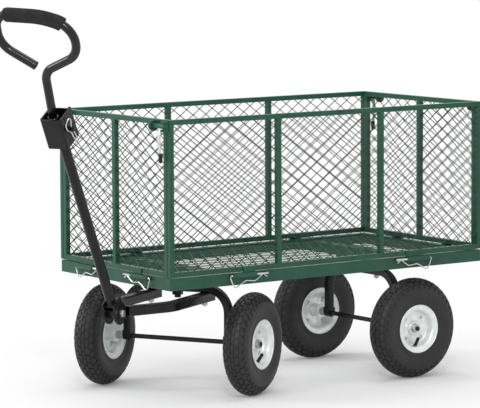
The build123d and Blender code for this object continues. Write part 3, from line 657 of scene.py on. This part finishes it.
def rim_bolts():
    bm = bmesh.new()
    for index in range(4):
        place = turn(90 * (index + 0.5), "Y") @ shift(0, 0, RIM_BOLT_RING)
        join(bm, hexagon(9, 2.8), place @ shift(0, 4.0) @ turn(-90, "X"))
        join(bm, washer(13, 6.2, 1.0), place @ shift(0, -2.0) @ turn(90, "X"))
        join(bm, hexagon(10, 4.4), place @ shift(0, -3.0) @ turn(90, "X"))
        join(bm, stud(6, 0, 3), place @ shift(0, -7.2) @ turn(90, "X"))
    return bm


VALVE = [
    (0, 0.01), (0, 6.2), (2.0, 5.6), (4.5, 4.4), (18, 4.0), (19, 3.5), (20.2, 4.4), (28, 4.2), (29.6, 3.0),
    (30, 0.01),
]


def valve_stem():
    """Rubber stem and cap, from the rim's seat towards the axle and outwards."""
    bm = spun(VALVE, steps=24, closed=False)
    bmesh.ops.transform(bm, matrix=shift(0, 11, -48.5) @ turn(90 - VALVE_LEAN, "X"), verts=bm.verts)
    return bm


for axle, axle_place in (("front", steer_place), ("rear", rear_place)):
    for end, side in (("near", -1), ("far", 1)):
        wheel = f"{axle}_{end}_wheel"
        place = axle_place @ shift(0, side * HALF_TRACK, AXLE_Z) @ turn(180 if side < 0 else 0, "Z")
        tyre = tyre_body()
        join(tyre, tyre_blocks())
        keep(tyre, f"{wheel}_block_tyre", wheel, tyre_rubber, place,
             [f"{wheel}_tyre"], crease=30)
        rim = rim_half(RIM_OUT)
        join(rim, ribbed_half())
        keep(rim, f"{wheel}_pressed_rim", wheel, zinc_rim, place, [f"{wheel}_rim"])
        keep(make_hub(), f"{wheel}_bearing_hub", wheel, zinc_rim, place, [f"{wheel}_hub"])
        keep(rim_bolts(), f"{wheel}_hex_bolts", wheel, zinc_bolt, place,
             [f"{wheel}_rim_bolts"])
        keep(valve_stem(), f"{wheel}_valve", wheel, valve_rubber, place,
             [f"{wheel}_valve_stem"])


# Handle: bent bar, foam grip that follows its crown, and a plug in its free end

def rounded_line(points, radii, steps=24):
    """Points along a bent line whose corners are rounded."""
    line = [Vector(points[0])]
    for before, corner, after, radius in zip(points, points[1:], points[2:], radii):
        corner = Vector(corner)
        into = (corner - Vector(before)).normalized()
        out = (Vector(after) - corner).normalized()
        bend = into.angle(out)
        middle = corner + (out - into).normalized() * radius / cos(bend / 2)
        arm = corner - into * radius * tan(bend / 2) - middle
        axis = into.cross(out)
        line += [middle + Matrix.Rotation(bend * i / steps, 3, axis) @ arm for i in range(steps + 1)]
    return line + [Vector(points[-1])]


def on_line(line, distance):
    """The point at a distance along a line, and the direction there."""
    for start, end in zip(line, line[1:]):
        length = (end - start).length
        if distance <= length:
            break
        distance -= length
    along = (end - start).normalized()
    return start + along * distance, along


def handle_sleeve(outside, bore, sides=40):
    """A tube on the handle's line: (distance, radius) points along its outside, and a straight bore."""
    line = rounded_line(HANDLE_LINE, HANDLE_BENDS)
    sideways = Vector((1, 0, 0))
    angles = [2 * pi * i / sides for i in range(sides)]
    bm = bmesh.new()
    rings = []
    for distance, radius in outside + [(d, bore) for d, _ in reversed(outside)]:
        middle, along = on_line(line, distance)
        across = along.cross(sideways)
        places = [middle + (sideways * cos(t) + across * sin(t)) * radius for t in angles]
        rings.append([bm.verts.new(place) for place in places])
    for first, second in zip(rings, rings[1:] + rings[:1]):
        for i in range(sides):
            bm.faces.new((first[i - 1], first[i], second[i], second[i - 1]))
    bmesh.ops.recalc_face_normals(bm, faces=bm.faces)
    return bm


def foam_grip():
    half = GRIP_WIDE / 2
    end = GRIP_START + GRIP_LONG
    middle = [(GRIP_START + 4 * i, half) for i in range(1, GRIP_LONG // 4)]
    start_lip = [(GRIP_START, half - 2.4), (GRIP_START + 1.0, half - 0.8)]
    end_lip = [(end - 1.0, half - 0.8), (end, half - 2.4)]
    return handle_sleeve(start_lip + middle + end_lip, HANDLE_TUBE / 2 + 0.2)


def handle_bar():
    """The bent tube with its collar, and the stop plate that closes the hitch box behind."""
    half = HANDLE_TUBE / 2
    line = rounded_line(HANDLE_LINE, HANDLE_BENDS)
    long = sum((end - start).length for start, end in zip(line, line[1:]))
    collar = COLLAR_START - HANDLE_LINE[0][2]
    ring = [(0.0, half), (0.0, COLLAR_HALF - 0.8), (0.8, COLLAR_HALF), (COLLAR_HIGH - 0.8, COLLAR_HALF)]
    ring += [(COLLAR_HIGH, COLLAR_HALF - 0.8), (COLLAR_HIGH, half)]
    outside = [(0.0, half - 0.5), (0.5, half)] + [(collar + d, radius) for d, radius in ring]
    outside += [(d, half) for d in range(round(collar + COLLAR_HIGH) + 3, int(long), 3)]
    outside.append((long - 0.01, half))
    bm = handle_sleeve(outside, half - HANDLE_WALL)
    upright = turn(-HANDLE_TILT, "X")
    thick, _, high = STOP_PLATE
    web = (STOP_X - half + 3, half, 15)
    join(bm, block(STOP_PLATE, 0.6, upright @ shift(STOP_X + thick / 2, -HANDLE_SHIFT, high / 2 - 4)))
    join(bm, block(web, 0.6, upright @ shift((STOP_X + half) / 2, 0, COLLAR_START - 7.5)))
    return bm


grip = keep(foam_grip(), "foam_grip", "handle", foam, handle_place, ["handle_grip"])
keep(handle_bar(), "bent_handle_bar", "handle", black_gloss, handle_place,
     ["handle_tube"])

PLUG = [(-8, 0.01), (-8, 8.3), (0, 8.4), (0, 10.6), (1.6, 10.6), (3.2, 8.6), (3.8, 5.0), (3.9, 0.01)]
free_end = Vector(HANDLE_LINE[-1])
plug_turn = Vector((0, 1, 0)).rotation_difference(free_end - Vector(HANDLE_LINE[-2])).to_matrix().to_4x4()
plug_place = handle_place @ Matrix.Translation(free_end) @ plug_turn
keep(spun(PLUG, steps=32, closed=False), "handle_end_plug", "handle", black_vinyl, plug_place)


# Drawbar: spring clip of the hitch pin, and the pivot's bolt on black washers

CLIP = [
    (0, -38), (0, -20), (0, 4), (1, 10), (6, 13.5), (9.5, 17), (9.8, 24), (6, 29), (-4, 30.5), (-14, 29),
    (-18, 23), (-17.5, 14), (-13, 5), (-9.2, -2), (-9.2, -9), (-11, -16), (-9, -25), (-8.5, -28), (-12, -38),
]
clip_place = drawbar_place @ shift(0, -CLEVIS_WIDE / 2 - 8, HITCH_PIN) @ turn(-17, "Y")
clip = bent_wire([(x, 0, z) for x, z in CLIP], 3)
keep(clip, "hitch_spring_clip", "drawbar", zinc_wire, clip_place, ["hitch_pin_clip"])

pivot = hexagon(16, 6.4)
bmesh.ops.transform(pivot, matrix=shift(0, -PIVOT_SEAT) @ turn(90, "X"), verts=pivot.verts)
join(pivot, hexagon(16, 6.4), shift(0, PIVOT_SEAT) @ turn(-90, "X"))
join(pivot, stud(10, 0, 9.4), shift(0, PIVOT_SEAT) @ turn(-90, "X"))
keep(pivot, "pivot_bolt", "drawbar", zinc_bolt, drawbar_place, ["drawbar_pivot_bolt"])
discs = bmesh.new()
for side in (-1, 1):
    seat = shift(0, side * (PIVOT_SEAT - PIVOT_WASHER)) @ turn(-90 * side, "X")
    join(discs, washer(26, 10.2, PIVOT_WASHER), seat)
keep(discs, "pivot_washers", "drawbar", black_vinyl, drawbar_place)

caps = bmesh.new()
for y in (-YOKE_LEG_Y, YOKE_LEG_Y):
    join(caps, block((3.2, YOKE_TUBE - 0.4, YOKE_TUBE - 0.4), 1.4, shift(YOKE_TAIL + 1.4, y, PIVOT_Z)))
keep(caps, "yoke_end_caps", "steering", black_vinyl, steer_place)


# Finishes of the pieces that stay as they are

FINISH = {
    green_coat: ["bed_frame", "bed_hinge_knuckles", "front_bolster", "rear_bolster",
                 *[f"{side}_panel_frame" for side in SIDES]],
    black_coat: ["front_arch", "rear_arch", "steering_yoke", "drawbar", "drawbar_fork", "hitch_clevis",
                 "front_axle_rod", "rear_axle_rod", "kingpin", "hitch_pin"],
    zinc_bolt: ["rear_axle_hardware", "front_axle_hardware", "rear_arch_bolts", "yoke_bolts"],
    black_vinyl: ["turntable_washer"],
}
for material, names in FINISH.items():
    for name in names:
        nodes[name].data.materials.clear()
        nodes[name].data.materials.append(material)


# Studio: white floor and world, soft light from the left, the near side and above

FLOOR_LIFT = 0.12
WORLD_LIGHT = 0.53


def seen_directly(tree):
    """1 for rays from the camera, and for those that metal or gloss sends on."""
    ray = add_node(tree, "ShaderNodeLightPath", {})
    seen = ray.outputs["Is Camera Ray"]
    for kind in ("Is Glossy Ray", "Is Transmission Ray"):
        both = add_node(tree, "ShaderNodeMath", {0: seen, 1: ray.outputs[kind]}, operation="MAXIMUM")
        seen = both.outputs[0]
    return seen


def make_floor():
    """A white floor: it takes the shadows near the cart and fades to plain white far from it."""
    bm = bmesh.new()
    bmesh.ops.create_circle(bm, cap_ends=True, segments=64, radius=90)
    mesh = bpy.data.meshes.new("studio_floor")
    bm.to_mesh(mesh)
    bm.free()
    floor = bpy.data.objects.new("studio_floor", mesh)
    bpy.context.scene.collection.objects.link(floor)
    paint = bpy.data.materials.new("white_floor")
    paint.use_nodes = True
    tree = paint.node_tree
    tree.nodes.remove(tree.nodes["Principled BSDF"])
    where = add_node(tree, "ShaderNodeTexCoord", {}).outputs["Object"]
    away = add_node(tree, "ShaderNodeVectorMath", {0: where}, operation="LENGTH")
    fade = {"From Min": 0.45, "From Max": 1.05, "To Min": FLOOR_LIFT, "To Max": 1.0}
    far = add_node(tree, "ShaderNodeMapRange", {"Value": away.outputs["Value"], **fade})
    seen = seen_directly(tree)
    share = add_node(tree, "ShaderNodeMath", {0: far.outputs["Result"], 1: seen}, operation="MULTIPLY")
    matt = add_node(tree, "ShaderNodeBsdfDiffuse", {"Color": (0.93, 0.93, 0.93, 1)})
    white = add_node(tree, "ShaderNodeEmission", {"Color": (1, 1, 1, 1), "Strength": 1.0})
    layers = {0: share.outputs[0], 1: matt.outputs[0], 2: white.outputs[0]}
    both = add_node(tree, "ShaderNodeMixShader", layers)
    tree.links.new(both.outputs[0], tree.nodes["Material Output"].inputs["Surface"])
    mesh.materials.append(paint)


def make_world():
    world = bpy.data.worlds.new("studio")
    bpy.context.scene.world = world
    world.use_nodes = True
    tree = world.node_tree
    tree.nodes.clear()
    light = add_node(tree, "ShaderNodeBackground", {"Color": (1, 1, 1, 1), "Strength": WORLD_LIGHT})
    white = add_node(tree, "ShaderNodeBackground", {"Color": (1, 1, 1, 1), "Strength": 1.0})
    layers = {0: seen_directly(tree), 1: light.outputs[0], 2: white.outputs[0]}
    both = add_node(tree, "ShaderNodeMixShader", layers)
    add_node(tree, "ShaderNodeOutputWorld", {"Surface": both.outputs[0]})


def softbox(name, place, aim, size, power):
    """A lamp with a flat front of (width, height) in metres."""
    lamp = bpy.data.lights.new(name, "AREA")
    lamp.shape = "RECTANGLE"
    lamp.size, lamp.size_y = size
    lamp.energy = power
    box = bpy.data.objects.new(name, lamp)
    box.location = place
    box.rotation_euler = (Vector(aim) - Vector(place)).to_track_quat("-Z", "Y").to_euler()
    bpy.context.scene.collection.objects.link(box)


make_floor()
make_world()
softbox("key_left", (-5.0, -0.8, 3.2), (0, 0, 0.4), (2.2, 2.2), 30)
softbox("rim_left", (-4.3, 2.9, 2.5), (-0.7, -0.1, 0.7), (0.9, 1.6), 85)
softbox("near_strip", (-2.13, -3.18, 2.39), (-0.94, -0.35, 0.93), (0.8, 0.8), 52)
softbox("top", (0.3, 0.2, 4.2), (0, 0, 0.2), (3.0, 3.0), 60)


# Camera at the photograph's angle

AZIMUTH = -35.734
ELEVATION = 6.121
ROLL = -0.261
DISTANCE = 8.0390
TARGET = Vector((-0.10535, 0, 0.46097))
FOCAL_PIXELS = 3135.7
IMAGE_WIDTH = 480
SENSOR = 36

lens = bpy.data.cameras.new("photo_camera")
lens.sensor_width = SENSOR
lens.sensor_fit = "HORIZONTAL"
lens.lens = FOCAL_PIXELS / IMAGE_WIDTH * SENSOR
lens.clip_end = 300
camera = bpy.data.objects.new("photo_camera", lens)
a, e, r = radians(AZIMUTH), radians(ELEVATION), radians(ROLL)
back = Vector((sin(a) * cos(e), -cos(a) * cos(e), sin(e)))
level_right = Vector((cos(a), sin(a), 0))
level_up = back.cross(level_right)
right = level_right * cos(r) + level_up * sin(r)
up = level_up * cos(r) - level_right * sin(r)
pose = Matrix((right, up, back)).transposed().to_4x4()
pose.translation = TARGET + back * DISTANCE
camera.matrix_world = pose
bpy.context.scene.collection.objects.link(camera)
bpy.context.scene.camera = camera
bpy.context.scene.view_settings.view_transform = "Standard"
